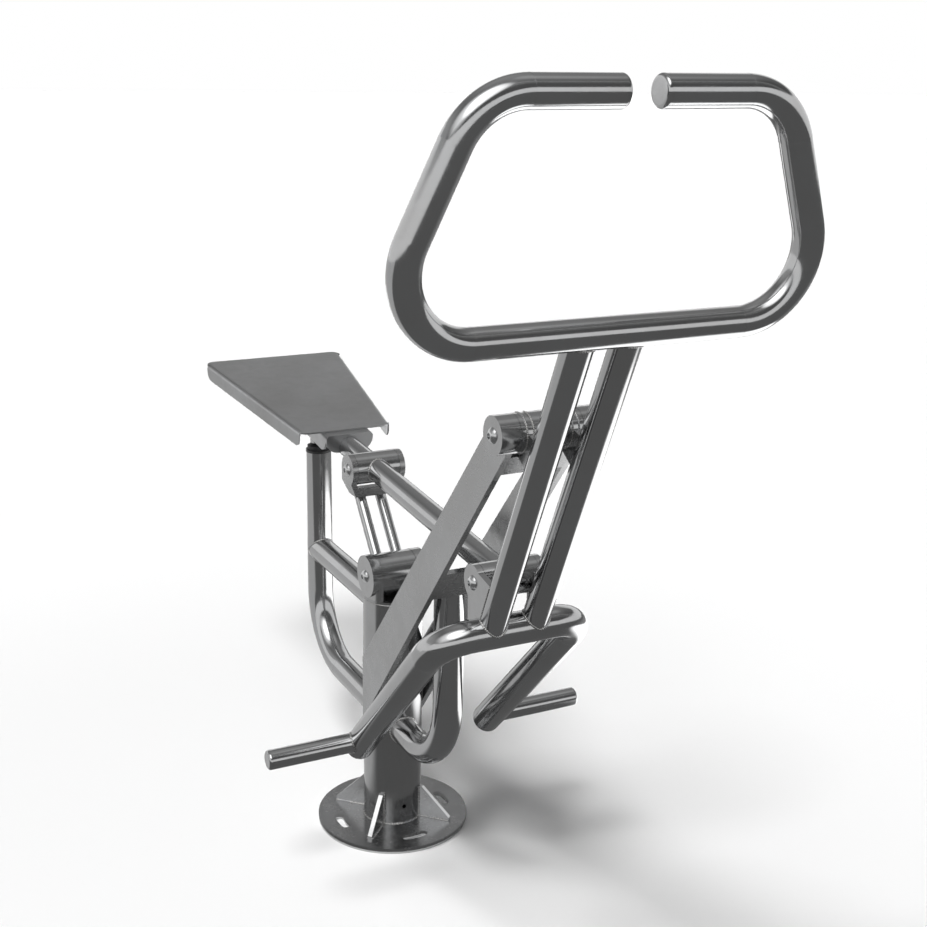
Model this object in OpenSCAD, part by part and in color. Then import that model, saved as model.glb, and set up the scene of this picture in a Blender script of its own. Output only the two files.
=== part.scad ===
// Outdoor rowing machine in stainless steel tube: a post and frame, a handle lever with
// foot pegs, a rocker behind it and a seat carried by both. +Y points to the seat side,
// +Z up, and the origin is the centre of the base plate's bottom face.

/* [Base] */
// Diameter of the base plate
base_d = 280; // [270:1:320]
// Thickness of the base plate
base_t = 10; // [8:1:14]
// Radius of the circle on which the four curved anchor slots lie
slot_r = 103.4; // [98:0.2:108]
// Width of an anchor slot
slot_w = 16; // [12:1:20]
// Length of an anchor slot along its circle, end to end
slot_len = 50; // [30:1:60]
// Thickness of a base gusset
gusset_t = 8; // [5:1:10]
// Distance of a gusset's tip from the post's axis
gusset_r = 114.5; // [90:0.5:120]
// Height of a gusset at the post
gusset_h = 61; // [40:1:90]

/* [Post] */
// Outside diameter of the post
post_d = 108; // [102:1:114]
// Wall of the post
post_wall = 4; // [3:0.5:6]
// Thickness of the plate that closes the post
head_plate_t = 6; // [4:1:10]
// Diameter of the drain hole at the foot of the post
drain_d = 8; // [5:1:12]
// Height of the drain hole above the base plate
drain_h = 34; // [20:1:60]

/* [Frame tubes] */
// Outside diameter of the bent frame tubes and of the footrest tube
frame_d = 50.8; // [45:0.1:54]
// Wall of the bent frame tubes
frame_wall = 3; // [2:0.5:4]
// Distance of the rear arm's axis behind the post's axis
rear_arm_y = 373; // [360:1:390]
// Distance of the front arm's axis in front of the post's axis
front_arm_y = 232; // [222:1:242]
// Height of the bent tubes' lowest axis
frame_low_z = 200; // [180:1:215]
// Bend radius of the frame tubes, at the axis
frame_bend_r = 130; // [110:1:140]
// How far the rear arm's open end lies below the seat tube's axis
rear_arm_drop = 62.8; // [60:0.1:70]
// Height of the strut's axis
strut_z = 415; // [390:1:425]

/* [Side bars and brackets] */
// Distance between the inner faces of the two side bars
bar_gap = 100; // [98:0.5:108]
// Thickness of a side bar
bar_t = 10; // [8:1:12]
// Height of the side bars' lower edge at the post
bar_foot_low_z = 209.5; // [200:0.5:230]
// Height of the side bars' upper edge at the post
bar_foot_high_z = 336.5; // [320:0.5:350]
// Distance of a side bar's rear edge from the axis of the handle pivot
bar_rear_reach = 38.5; // [34:0.5:42]
// Distance of a side bar's front edge from the axis of the handle pivot
bar_front_reach = 20; // [10:0.5:24]
// How far below the handle pivot a side bar's end is cut
bar_end_drop = 17; // [12:1:25]
// Thickness of the folded bracket and of the plate under the handle pivot
bracket_t = 8; // [6:1:10]
// Height of the folded bracket's lower flange
bracket_low_z = 547; // [535:1:552]
// Height of the folded bracket's top edge
bracket_top_z = 607; // [590:1:609]
// Rear edge of the folded bracket's lower flange, in front of the post's axis
bracket_rear_y = 198; // [185:1:204]
// Lower edge of the plate under the handle pivot
upper_plate_low_z = 819; // [810:1:835]
// Upper edge of the plate under the handle pivot
upper_plate_top_z = 852; // [845:1:854]

/* [Pivots] */
// Height of the rocker's lower pivot, above the post
pivot_a_z = 491; // [480:1:500]
// Distance of the seat pivot behind the post's axis
pivot_d_y = 89; // [84:1:94]
// Height of the seat pivot
pivot_d_z = 665; // [660:1:670]
// Distance of the lever's lower pivot in front of the post's axis
pivot_b_y = 425; // [421:1:429]
// Height of the lever's lower pivot
pivot_b_z = 631; // [627:1:635]
// Distance of the handle pivot in front of the post's axis
pivot_c_y = 526; // [522:1:530]
// Height of the handle pivot
pivot_c_z = 888; // [884:1:892]
// Outside diameter of the hubs of the handle, seat and lever pivots
hub_d = 57; // [55:0.5:57]
// Outside diameter of the hub on the post
post_hub_d = 76; // [70:1:80]
// Outer half length of the post hub
hub_a_half = 54; // [50:0.5:60]
// Thickness of a cheek of the post hub
cheek_t = 19; // [12:1:20]
// Outer half length of the seat pivot hub
hub_d_half = 51; // [48:0.5:54]
// Outer half length of the lever's lower hub
hub_b_half = 56; // [54:0.5:58]
// Outer half length of the handle pivot hub
hub_c_half = 81; // [70:0.5:90]
// Thickness of the ears at the seat pivot and at the lever's lower pivot
ear_t = 10; // [7:1:11]
// Diameter of the pivot axles
axle_d = 20; // [18:0.5:22]
// Outside diameter of the pivot bearings
bearing_d = 47; // [40:0.5:48]
// Width of a pivot bearing
bearing_w = 14; // [10:1:18]
// Outside diameter of the bushes at the lever's lower pivot
bush_d = 28; // [26:0.5:30]
// Wall of the sleeve at the lever's lower pivot
sleeve_b_wall = 4; // [3:0.5:5]
// Diameter of the pivot bolts
bolt_d = 12; // [8:1:12]
// Diameter of a bolt's button head
bolt_head_d = 24; // [23:0.5:26]
// Height of a bolt's button head
bolt_head_h = 7; // [5:0.5:8]
// Width across flats of the socket in a bolt head
socket_af = 8; // [5:1:9]

/* [Rocker] */
// Diameter of the two rocker rods
rod_d = 20; // [14:1:22]
// Distance of a rod's axis from the middle plane
rod_x = 20; // [14:0.5:20.5]
// Lean of the rods behind the vertical, in degrees
rod_lean = 39.8; // [38:0.2:42]
// Distance of the rods' axes behind the post's axis, at the height of the lower pivot
rod_y = 10; // [4:1:12]
// How far the yoke's lower face, where the rods end, lies below the seat pivot
yoke_drop = 53; // [50:1:58]
// Plate thickness of the yoke
yoke_t = 8; // [6:1:10]
// Front edge of the yoke's foot, behind the post's axis
yoke_front_y = 84; // [80:1:90]
// Rear edge of the yoke's foot, behind the post's axis
yoke_rear_y = 116; // [114:1:130]
// Half width of the yoke's foot
yoke_foot_x = 37; // [34:0.5:44]

/* [Seat] */
// Outside diameter of the seat tube
seat_tube_d = 42.4; // [40:0.1:44]
// Wall of the seat tube and of the lever's tubes
tube_wall = 3; // [2:0.5:4]
// Distance of the seat tube's rear end behind the post's axis
seat_tube_end_y = 530; // [510:1:560]
// Distance of the seat's front edge behind the post's axis
seat_front_y = 220; // [212:1:235]
// Height of the seat's top at its front edge, above the seat tube's axis
seat_front_rise = 30.3; // [30:0.1:36]
// Angle of the seat over the seat tube, in degrees
seat_over_tube = 3.56; // [3:0.02:4]
// Length of the seat along its slope
seat_len = 430; // [400:1:460]
// Half width of the seat at its front edge
seat_front_x = 91; // [80:0.5:100]
// Half width of the seat at its rear edge
seat_rear_x = 151; // [130:0.5:170]
// Sheet thickness of the seat
seat_t = 3; // [2:0.5:4]
// Outside radius of the folds along the seat's sides
seat_fold_r = 8; // [5:0.5:12]
// Depth of the folded sides
seat_flange_h = 30; // [24:1:36]
// Radius of the lower rear corners of the folded sides
flange_rear_r = 20; // [8:1:22]
// Radius of the lower front corners of the folded sides
flange_front_r = 12; // [4:1:16]
// Radius of the seat's rear corners
seat_rear_r = 18; // [14:1:30]
// Radius of the seat's front corners
seat_front_r = 16; // [8:1:20]
// Outside width of the channel under the seat
channel_w = 94; // [90:1:110]
// Plate thickness of the channel
channel_t = 4; // [3:0.5:5]
// Depth of the channel
channel_h = 36; // [32:1:44]
// How far the channel stands out in front of the seat
channel_lead = 18; // [10:1:30]
// Length of the channel along its slope
channel_len = 370; // [340:1:400]
// Radius of the channel's lower front corners
channel_corner_r = 24; // [10:1:30]
// Thickness of the plate that closes the channel's front end
end_plate_t = 5; // [3:1:8]
// Radius of that plate's lower corners
end_plate_r = 25; // [10:1:30]
// Thickness of the cross plates that hold the tube in the channel
diaphragm_t = 5; // [4:1:8]
// Place of the front cross plate along the seat
diaphragm_front = 60; // [40:1:90]
// Place of the rear cross plate along the seat
diaphragm_rear = 270; // [230:1:290]
// Diameter of the striker under the seat tube
striker_d = 34; // [20:1:38]
// Height of the rubber buffer's crown above the rear arm's end
buffer_h = 19; // [12:1:20]
// Diameter of the buffer above the rear arm
buffer_d = 44; // [36:0.5:48]

/* [Handle lever] */
// Outside diameter of the handle loop and of the uprights
handle_d = 42.4; // [40:0.1:43]
// Distance of the loop's lower tube in front of the post's axis
loop_low_y = 686; // [680:1:692]
// Height of the loop's lower tube
loop_low_z = 1056; // [1040:1:1080]
// Height of the loop along its slope, between tube axes
loop_h = 302; // [280:1:330]
// Forward lean of the loop, in degrees
loop_lean = 8.76; // [6:0.1:12]
// Half width of the loop's lower corners, at the axes' crossing
loop_low_x = 340; // [320:1:360]
// Half width of the loop's upper corners, at the axes' crossing
loop_top_x = 217; // [200:1:240]
// Bend radius of the loop, at the axis
loop_bend_r = 95; // [85:1:100]
// Gap between the loop's two upper ends
loop_gap = 49; // [30:1:70]
// Height of an end cap outside its tube
cap_h = 6; // [5:0.5:8]
// Radius of an end cap's rounded rim
cap_round = 5; // [2:0.5:5]
// Distance of an upright's axis from the middle plane
upright_x = 36.5; // [34:0.5:38]
// Where the uprights' axis meets the footrest's height, in front of the post's axis
upright_low_y = 450; // [446:1:454]
// Where the uprights' axis meets the loop's height, in front of the post's axis
upright_top_y = 678; // [674:1:682]
// Distance of the footrest's cross tube in front of the post's axis
foot_y = 449.5; // [446:0.5:453]
// Height of the footrest's cross tube
foot_z = 556; // [552:1:560]
// Distance of a footrest arm's axis from the middle plane
foot_x = 124; // [110:1:140]
// Bend radius of the footrest, at the axis
foot_bend_r = 56; // [52:1:80]
// Slope of the footrest's arms below the horizontal, in degrees
foot_slope = 45.6; // [42:0.2:48]
// Length of a footrest arm
foot_arm_len = 443; // [420:1:450]
// Place of the pegs along the footrest's arms
peg_along = 421; // [400:1:424]
// Outside diameter of a peg
peg_d = 33.7; // [30:0.1:36]
// Distance of a peg's end from the middle plane
peg_end_x = 297; // [260:1:310]
// Thickness of a lever bracket plate at the handle pivot
lever_plate_t = 10; // [6:1:12]
// Outer half width over the lever bracket plates
lever_plate_x = 41; // [36:0.5:46]
// How far below the handle pivot a lever bracket plate ends at the upright
lever_plate_drop = 56; // [50:1:60]

/* [Fits] */
// Gap at a welded joint
weld_gap = 0.1; // [0.05:0.05:0.2]
// Radial clearance of an axle in its bearings and seats
run_gap = 0.05; // [0.02:0.01:0.08]
// Gap beside a turning sleeve
side_gap = 0.5; // [0.3:0.1:1]
// Gap between the striker and the buffer at rest
stop_gap = 0.3; // [0.2:0.1:0.5]

/* [Hidden] */
$fn = 64;

steel = "lightslategray";
bright = "silver";
rubber = "dimgray";

// Pivot centres as [y, z]
piv_a = [0, pivot_a_z];
piv_b = [-pivot_b_y, pivot_b_z];
piv_c = [-pivot_c_y, pivot_c_z];
piv_d = [pivot_d_y, pivot_d_z];

hub_r = hub_d / 2;
post_hub_r = post_hub_d / 2;
bore_r = axle_d / 2 + run_gap;
seat_r = bearing_d / 2 + run_gap;
head_top_z = pivot_a_z - post_hub_r - side_gap;
post_top_z = head_top_z - head_plate_t;
bar_in = bar_gap / 2;
bar_out = bar_in + bar_t;
sleeve_a_half = hub_a_half - cheek_t - side_gap;
sleeve_b_half = hub_b_half - ear_t - side_gap;
sleeve_c_half = bar_in - side_gap;
sleeve_d_half = hub_d_half - ear_t - side_gap;
bolt_depth = 2.5 * bolt_d;
far = 900;
// Rise and half width of the ring that marks where a bend starts
bead = 0.1;
bead_half = 1;

// Side bar edges: each runs from the post and passes the handle pivot at its own reach
foot_low = [0, bar_foot_low_z];
foot_high = [0, bar_foot_high_z];
bar_axis = piv_c - (foot_low + foot_high) / 2;
bar_u = bar_axis / norm(bar_axis);
front_u = edge_dir(foot_low, bar_front_reach, 1);
rear_u = edge_dir(foot_high, bar_rear_reach, -1);
front_n = [front_u.y, -front_u.x];

// Seat tube axis, through the lower lever pivot and the seat pivot
tube_u = (piv_d - piv_b) / norm(piv_d - piv_b);
tube_end = piv_d + tube_u * (seat_tube_end_y - piv_d.x) / tube_u.x;
tube_slope = atan2(tube_u.y, tube_u.x);
rear_arm_top_z = tube_z(rear_arm_y) - rear_arm_drop;
seat_front_z = tube_z(seat_front_y) + seat_front_rise;
seat_tilt = tube_slope + seat_over_tube;
yoke_low_z = pivot_d_z - yoke_drop;

// Uprights as straight lines between the footrest and the loop
upright_foot = [-upright_low_y, foot_z];
upright_head = [-upright_top_y, loop_low_z];
upright_u = (upright_head - upright_foot) / norm(upright_head - upright_foot);

buffer_top_z = rear_arm_top_z + buffer_h;

// Unit direction from p that passes the handle pivot at distance reach, on the given side
function edge_dir(p, reach, side) =
    let (v = piv_c - p, a = atan2(v.y, v.x) + side * asin(reach / norm(v)))
    [cos(a), sin(a)];

// Point on an edge at the level where the side bars end
function edge_end(p, u) = p + u * ((piv_c - p) * bar_u - bar_end_drop) / (u * bar_u);

// Point on an edge at height z
function edge_at(p, u, z) = p + u * (z - p.y) / u.y;

// Height of the seat tube's axis at a place behind the post's axis
function tube_z(y) = piv_d.y + (y - piv_d.x) * tube_u.y / tube_u.x;

// Point of the uprights' axis at height z
function upright_at(z) = edge_at(upright_foot, upright_u, z);

// Draws a flat shape, given in y and z, as a plate from x0 to x1
module plate_x(x0, x1) {
    translate([x0, 0, 0]) rotate([90, 0, 90]) linear_extrude(x1 - x0) children();
}

// A round bar along X through p
module bar_x(p, d, x0, x1) {
    translate([x0, p.x, p.y]) rotate([0, 90, 0]) cylinder(d = d, h = x1 - x0);
}

// A round bar from p to q, both given as [x, y, z]
module rod(p, q, d) {
    v = q - p;
    translate(p)
        rotate([0, acos(v.z / norm(v)), atan2(v.y, v.x)])
            cylinder(d = d, h = norm(v));
}

// Signed turn at corner i of a path of points in a plane
function turn(pts, i) =
    let (u = pts[i] - pts[i - 1], v = pts[i + 1] - pts[i])
    atan2(u.x * v.y - u.y * v.x, u * v);

// Length that the bend at corner i takes from its two straight runs
function trim(pts, i, r) =
    i <= 0 || i >= len(pts) - 1 ? 0 : r * tan(abs(turn(pts, i)) / 2);

// A tube bent with radius r at every corner of a path in the XY plane, open at both ends.
// A low bead at each end of a bend joins it to its straight runs.
module bent_tube(pts, r, d, wall) {
    for (i = [1 : len(pts) - 1]) {
        u = (pts[i] - pts[i - 1]) / norm(pts[i] - pts[i - 1]);
        p = pts[i - 1] + u * trim(pts, i - 1, r);
        q = pts[i] - u * trim(pts, i, r);
        straight_tube([p.x, p.y, 0], [q.x, q.y, 0], d, wall);
        if (i > 1) bend_bead(p, u, d, wall);
        if (i < len(pts) - 1) {
            bend_bead(q, u, d, wall);
            a = turn(pts, i);
            side = sign(a);
            centre = q + side * r * [-u.y, u.x];
            start = atan2(q.y - centre.y, q.x - centre.x);
            translate([centre.x, centre.y, 0])
                rotate([0, 0, min(start, start + a)])
                    rotate_extrude(angle = abs(a)) translate([r, 0]) difference() {
                        circle(d = d);
                        circle(d = d - 2 * wall);
                    }
        }
    }
}

// Ring across the line where a straight run meets a bend
module bend_bead(p, u, d, wall) {
    half = bead_half * u;
    straight_tube([p.x - half.x, p.y - half.y, 0], [p.x + half.x, p.y + half.y, 0],
        d + 2 * bead, wall + 2 * bead);
}

// A straight tube from p to q, open at both ends
module straight_tube(p, q, d, wall) {
    u = (q - p) / norm(q - p);
    difference() {
        rod(p, q, d);
        rod(p - u, q + u, d - 2 * wall);
    }
}

// A plug with a rounded rim for a tube's end, its neck along -Z and the tube's end at z = 0
module round_plug(d, wall, neck) {
    flat_r = d / 2 - cap_round;
    translate([0, 0, -neck]) cylinder(r = d / 2 - wall - weld_gap, h = neck + 2 * weld_gap);
    translate([0, 0, weld_gap]) rotate_extrude() {
        square([flat_r, cap_h]);
        square([d / 2, cap_h - cap_round]);
        translate([flat_r, cap_h - cap_round]) intersection() {
            circle(r = cap_round);
            square(cap_round);
        }
    }
}

// Mirrors a piece modelled on the +X side to the -X side
module left() {
    mirror([1, 0, 0]) children();
}

// A turning sleeve round an axle, bored for its bearings
module sleeve(p, d, half, bore) {
    difference() {
        bar_x(p, d, -half, half);
        bar_x(p, bore, -half - 1, half + 1);
    }
}

// The two bearings of a sleeve, one just inside each end
module bearings(p, half) {
    for (s = [-1, 1]) {
        inner = s > 0 ? half - 1 - bearing_w : 1 - half;
        difference() {
            bar_x(p, bearing_d, inner, inner + bearing_w);
            bar_x(p, 2 * bore_r, inner - 1, inner + bearing_w + 1);
            // Grooves between the rings and the seals
            for (face = [inner - 0.01, inner + bearing_w - 0.79]) {
                difference() {
                    bar_x(p, bearing_d - 8, face, face + 0.8);
                    bar_x(p, axle_d + 8, face - 1, face + 2);
                }
            }
        }
    }
}

// An axle drilled at both ends for its bolts
module axle(p, half) {
    difference() {
        bar_x(p, axle_d, -half, half);
        for (s = [-1, 1]) {
            bar_x(p, bolt_d + 2 * weld_gap, s > 0 ? half - bolt_depth - 2 : -half - 1,
                s > 0 ? half + 1 : bolt_depth + 2 - half);
        }
    }
}

// The two button-head bolts of a hub
module hub_bolts(p, half) {
    for (s = [-90, 90]) {
        translate([0, p.x, p.y]) rotate([0, s, 0]) hub_bolt(half + weld_gap);
    }
}

// One button-head bolt pointing along +Z with its head seated at height h
module hub_bolt(h) {
    head_r = bolt_head_d / 2;
    ball_r = (head_r * head_r + bolt_head_h * bolt_head_h) / (2 * bolt_head_h);
    difference() {
        union() {
            translate([0, 0, h - bolt_depth]) cylinder(d = bolt_d, h = bolt_depth);
            intersection() {
                translate([0, 0, h]) cylinder(r = head_r, h = bolt_head_h - 1);
                translate([0, 0, h + bolt_head_h - ball_r]) sphere(r = ball_r);
            }
        }
        translate([0, 0, h + 2.5])
            cylinder(d = socket_af / cos(30), h = bolt_head_h, $fn = 6);
    }
}

// Frame

module base_plate() {
    slot_half_angle = (slot_len - slot_w) / 2 / slot_r * 180 / PI;
    color(steel) difference() {
        cylinder(d = base_d, h = base_t);
        for (a = [0 : 90 : 270]) rotate([0, 0, a]) {
            translate([0, 0, -1]) rotate([0, 0, -slot_half_angle])
                rotate_extrude(angle = 2 * slot_half_angle)
                    translate([slot_r - slot_w / 2, 0]) square([slot_w, base_t + 2]);
            for (s = [-1, 1]) rotate([0, 0, s * slot_half_angle])
                translate([slot_r, 0, -1]) cylinder(d = slot_w, h = base_t + 2);
        }
    }
}

module base_gussets() {
    foot = base_t + weld_gap;
    inner = post_d / 2 + weld_gap + gusset_t * gusset_t / (4 * post_d);
    nose = 6;
    color(bright) for (a = [45 : 90 : 315]) rotate([0, 0, a])
        translate([0, gusset_t / 2, foot]) rotate([90, 0, 0])
            linear_extrude(gusset_t)
                polygon([[inner, 0], [gusset_r, 0], [gusset_r, nose], [inner + nose, gusset_h],
                    [inner, gusset_h]]);
}

module post() {
    foot = base_t + weld_gap;
    color(steel) difference() {
        translate([0, 0, foot]) cylinder(d = post_d, h = post_top_z - weld_gap - foot);
        cylinder(d = post_d - 2 * post_wall, h = far);
        translate([0, 0, base_t + drain_h]) rotate([90, 0, 0]) cylinder(d = drain_d, h = post_d);
    }
}

module post_head_plate() {
    color(steel) translate([0, 0, post_top_z]) cylinder(d = post_d, h = head_plate_t);
}

// Cheek of the post hub: a round head on a foot that stays inside the round head plate
module head_cheek_right() {
    foot_z = head_top_z + weld_gap;
    color(bright) difference() {
        union() {
            bar_x(piv_a, post_hub_d, hub_a_half - cheek_t, hub_a_half);
            intersection() {
                plate_x(hub_a_half - cheek_t, hub_a_half)
                    translate([-post_hub_r, foot_z]) square([post_hub_d, pivot_a_z - foot_z]);
                cylinder(d = post_d, h = far);
            }
        }
        bar_x(piv_a, 2 * bore_r, 0, far);
    }
}

module head_cheek_left() {
    left() head_cheek_right();
}

module post_cutter() {
    cylinder(d = post_d + 2 * weld_gap, h = far);
}

module rear_frame_tube() {
    color(bright) difference() {
        rotate([90, 0, 90])
            bent_tube([[rear_arm_y, rear_arm_top_z], [rear_arm_y, frame_low_z], [10, frame_low_z]],
                frame_bend_r, frame_d, frame_wall);
        post_cutter();
    }
}

module front_frame_tube() {
    color(bright) difference() {
        rotate([90, 0, 90])
            bent_tube([[-front_arm_y, bracket_low_z - weld_gap], [-front_arm_y, frame_low_z],
                [-10, frame_low_z]], frame_bend_r, frame_d, frame_wall);
        post_cutter();
    }
}

module strut_tube() {
    color(bright) difference() {
        straight_tube([0, 10, strut_z], [0, rear_arm_y, strut_z], frame_d, frame_wall);
        post_cutter();
        translate([0, rear_arm_y, 0]) cylinder(d = frame_d + 2 * weld_gap, h = far);
    }
}

// Rubber buffer plugged into the rear arm, where the seat tube's striker lands
module rear_buffer() {
    flange_h = 5;
    crown = 6;
    r = buffer_d / 2;
    ball_r = (r * r + crown * crown) / (2 * crown);
    color(rubber) translate([0, rear_arm_y, rear_arm_top_z]) {
        translate([0, 0, -30]) cylinder(d = frame_d - 2 * frame_wall - 2 * weld_gap, h = 31);
        translate([0, 0, weld_gap]) cylinder(d = frame_d, h = flange_h);
        intersection() {
            cylinder(r = r, h = buffer_h);
            translate([0, 0, buffer_h - ball_r]) sphere(r = ball_r, $fn = 128);
        }
    }
}

module side_bar_outline() {
    difference() {
        polygon([foot_low, edge_end(foot_low, front_u), edge_end(foot_high, rear_u), foot_high]);
        translate(piv_c) circle(r = hub_r + weld_gap);
    }
}

module side_bar_right() {
    color(steel) difference() {
        plate_x(bar_in, bar_out) side_bar_outline();
        post_cutter();
    }
}

module side_bar_left() {
    left() side_bar_right();
}

// Folded plate between the side bars: its face lies flush with their front edges and its
// lower flange caps the front arm
module cross_bracket() {
    low = edge_at(foot_low, front_u, bracket_low_z);
    top = edge_at(foot_low, front_u, bracket_top_z);
    inner = edge_at(foot_low + front_n * bracket_t, front_u, bracket_low_z + bracket_t);
    half = bar_in - weld_gap;
    color(steel) plate_x(-half, half)
        polygon([top, low, [-bracket_rear_y, bracket_low_z],
            [-bracket_rear_y, bracket_low_z + bracket_t], inner, top + front_n * bracket_t]);
}

// Plate between the side bars under the handle pivot, flush with their front edges
module upper_cross_plate() {
    low = edge_at(foot_low, front_u, upper_plate_low_z);
    top = edge_at(foot_low, front_u, upper_plate_top_z);
    half = bar_in - weld_gap;
    color(steel) plate_x(-half, half)
        polygon([low, low + front_n * bracket_t, top + front_n * bracket_t, top]);
}

module hub_c_ring_right() {
    color(bright) difference() {
        bar_x(piv_c, hub_d, bar_in, hub_c_half);
        bar_x(piv_c, 2 * bore_r, 0, far);
    }
}

module hub_c_ring_left() {
    left() hub_c_ring_right();
}

module axle_a() {
    color(bright) axle(piv_a, hub_a_half - weld_gap);
}

module axle_c() {
    color(bright) axle(piv_c, hub_c_half - weld_gap);
}

module bolts_a() {
    color(bright) hub_bolts(piv_a, hub_a_half);
}

module bolts_c() {
    color(bright) hub_bolts(piv_c, hub_c_half);
}

// Rocker

module rocker_sleeve() {
    color(steel) sleeve(piv_a, post_hub_d - 1, sleeve_a_half, 2 * seat_r);
}

module rocker_rods() {
    dir = [0, sin(rod_lean), cos(rod_lean)];
    foot = [0, rod_y, pivot_a_z];
    reach = (yoke_low_z + rod_d - pivot_a_z) / cos(rod_lean);
    color(bright) for (s = [-1, 1]) {
        difference() {
            translate([s * rod_x, 0, 0]) rod(foot + dir * rod_d, foot + dir * reach, rod_d);
            bar_x(piv_a, post_hub_d - 1 + 2 * weld_gap, -far, far);
            translate([-far / 2, -far / 2, yoke_low_z - weld_gap]) cube([far, far, far]);
        }
    }
}

// Yoke seen from the side: round heads at the seat pivot, drawn in to the foot
module yoke_side() {
    translate(piv_d) circle(r = hub_r);
    polygon([[pivot_d_y - hub_r, pivot_d_z], [yoke_front_y, yoke_low_z],
        [yoke_rear_y, yoke_low_z], [pivot_d_y + hub_r, pivot_d_z]]);
}

// Yoke seen from the front: a folded plate with its two ears drawn in below the hub
module yoke_front() {
    knee_z = pivot_d_z - hub_r + 4;
    low = yoke_low_z;
    ear_in = hub_d_half - ear_t;
    difference() {
        polygon([[-yoke_foot_x, low], [yoke_foot_x, low], [hub_d_half, knee_z],
            [hub_d_half, far], [-hub_d_half, far], [-hub_d_half, knee_z]]);
        polygon([[-yoke_foot_x + ear_t, low + yoke_t], [yoke_foot_x - ear_t, low + yoke_t],
            [ear_in, knee_z], [ear_in, far + 1], [-ear_in, far + 1], [-ear_in, knee_z]]);
    }
}

module rocker_yoke() {
    web_top_z = pivot_d_z - hub_r - 5;
    color(steel) difference() {
        intersection() {
            plate_x(-hub_d_half, hub_d_half) yoke_side();
            union() {
                rotate([90, 0, 0]) translate([0, 0, -far / 2]) linear_extrude(far) yoke_front();
                // Front web between the ears
                translate([-yoke_foot_x, 0, yoke_low_z])
                    cube([2 * yoke_foot_x, yoke_front_y + yoke_t, web_top_z - yoke_low_z]);
            }
        }
        bar_x(piv_d, 2 * bore_r, -far, far);
        // Room for the turning sleeve between the ears
        bar_x(piv_d, hub_d + 2 * side_gap, ear_t - hub_d_half, hub_d_half - ear_t);
    }
}

module bearings_a() {
    color(bright) bearings(piv_a, sleeve_a_half);
}

module axle_d_pin() {
    color(bright) axle(piv_d, hub_d_half - weld_gap);
}

module bolts_d() {
    color(bright) hub_bolts(piv_d, hub_d_half);
}

// Seat

// Places a piece drawn in the seat's own frame: origin at the middle of the front edge's
// top, y along the slope, z square to the plate
module on_seat() {
    translate([0, seat_front_y, seat_front_z]) rotate([seat_tilt, 0, 0]) children();
}

side_v = [seat_rear_x - seat_front_x, seat_len];
side_u = side_v / norm(side_v);
fold_start = 0.6 * seat_front_r;
fold_end = norm(side_v) - 0.9 * seat_rear_r;

// The seat plate's outline with its four round corners
module seat_outline() {
    corner_in = tan(45 - atan2(side_u.x, side_u.y) / 2);
    rear_in = tan(45 + atan2(side_u.x, side_u.y) / 2);
    difference() {
        polygon([[-seat_front_x, 0], [seat_front_x, 0],
            [seat_rear_x, seat_len], [-seat_rear_x, seat_len]]);
        for (s = [-1, 1]) {
            corner_cut(s, [seat_front_x, 0], side_u, seat_front_r, seat_front_r * corner_in);
            corner_cut(s, [seat_rear_x, seat_len], -side_u, seat_rear_r, seat_rear_r * rear_in);
        }
    }
}

// What a round corner at p takes away: a kite of side t less the circle that touches both
// edges. The side edge leaves p along u, the other edge runs towards the middle.
module corner_cut(s, p, u, r, t) {
    inward = [-1, 0];
    centre = p + inward * t + [0, u.y > 0 ? r : -r];
    scale_x = s;
    a = p + inward * t;
    b = p + u * t;
    out = p + (p - centre) * 0.2;
    difference() {
        polygon([[scale_x * a.x, a.y], [scale_x * out.x, out.y], [scale_x * b.x, b.y],
            [scale_x * centre.x, centre.y]]);
        translate([scale_x * centre.x, centre.y]) circle(r = r);
    }
}

// Profile of a folded side, with the side's outer edge at x = 0 and the plate's top at y = 0
module fold_profile() {
    translate([-seat_fold_r, -seat_fold_r]) difference() {
        intersection() {
            circle(r = seat_fold_r);
            square(seat_fold_r);
        }
        circle(r = seat_fold_r - seat_t);
    }
    translate([-seat_t, -seat_flange_h]) square([seat_t, seat_flange_h - seat_fold_r]);
}

// Runs a profile along the right side edge of the seat
module along_side(from, to) {
    translate([seat_front_x, 0, 0]) rotate([0, 0, -atan2(side_u.x, side_u.y)])
        translate([0, to, 0]) rotate([90, 0, 0]) linear_extrude(to - from) children();
}

// What rounds a lower corner of the right folded side, at a place along the side edge. The
// corner lies in front of that place for side 1 and behind it for side -1.
module flange_corner(place, side, r) {
    translate([seat_front_x, 0, 0]) rotate([0, 0, -atan2(side_u.x, side_u.y)])
        plate_x(-2 * seat_t, seat_t) translate([place, -seat_flange_h]) difference() {
            translate([side > 0 ? -1 : -r, -1]) square(r + 1);
            translate([side * r, r]) circle(r = r);
        }
}

// The right folded side
module seat_fold() {
    difference() {
        along_side(fold_start, fold_end) fold_profile();
        flange_corner(fold_start, 1, flange_front_r);
        flange_corner(fold_end, -1, flange_rear_r);
    }
}

module seat_plate() {
    color(steel) on_seat() {
        difference() {
            translate([0, 0, -seat_t]) linear_extrude(seat_t) seat_outline();
            along_side(fold_start, fold_end)
                translate([-seat_fold_r, -2 * seat_t]) square(3 * seat_fold_r);
            left() along_side(fold_start, fold_end)
                translate([-seat_fold_r, -2 * seat_t]) square(3 * seat_fold_r);
        }
        seat_fold();
        left() seat_fold();
    }
}

// Channel seen along the seat, an inverted U with round shoulders
module channel_profile() {
    half = channel_w / 2;
    shoulder = 2 * channel_t;
    difference() {
        rounded_top(half, channel_h, shoulder);
        translate([0, -channel_t])
            rounded_top(half - channel_t, channel_h, shoulder - channel_t);
    }
}

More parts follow.
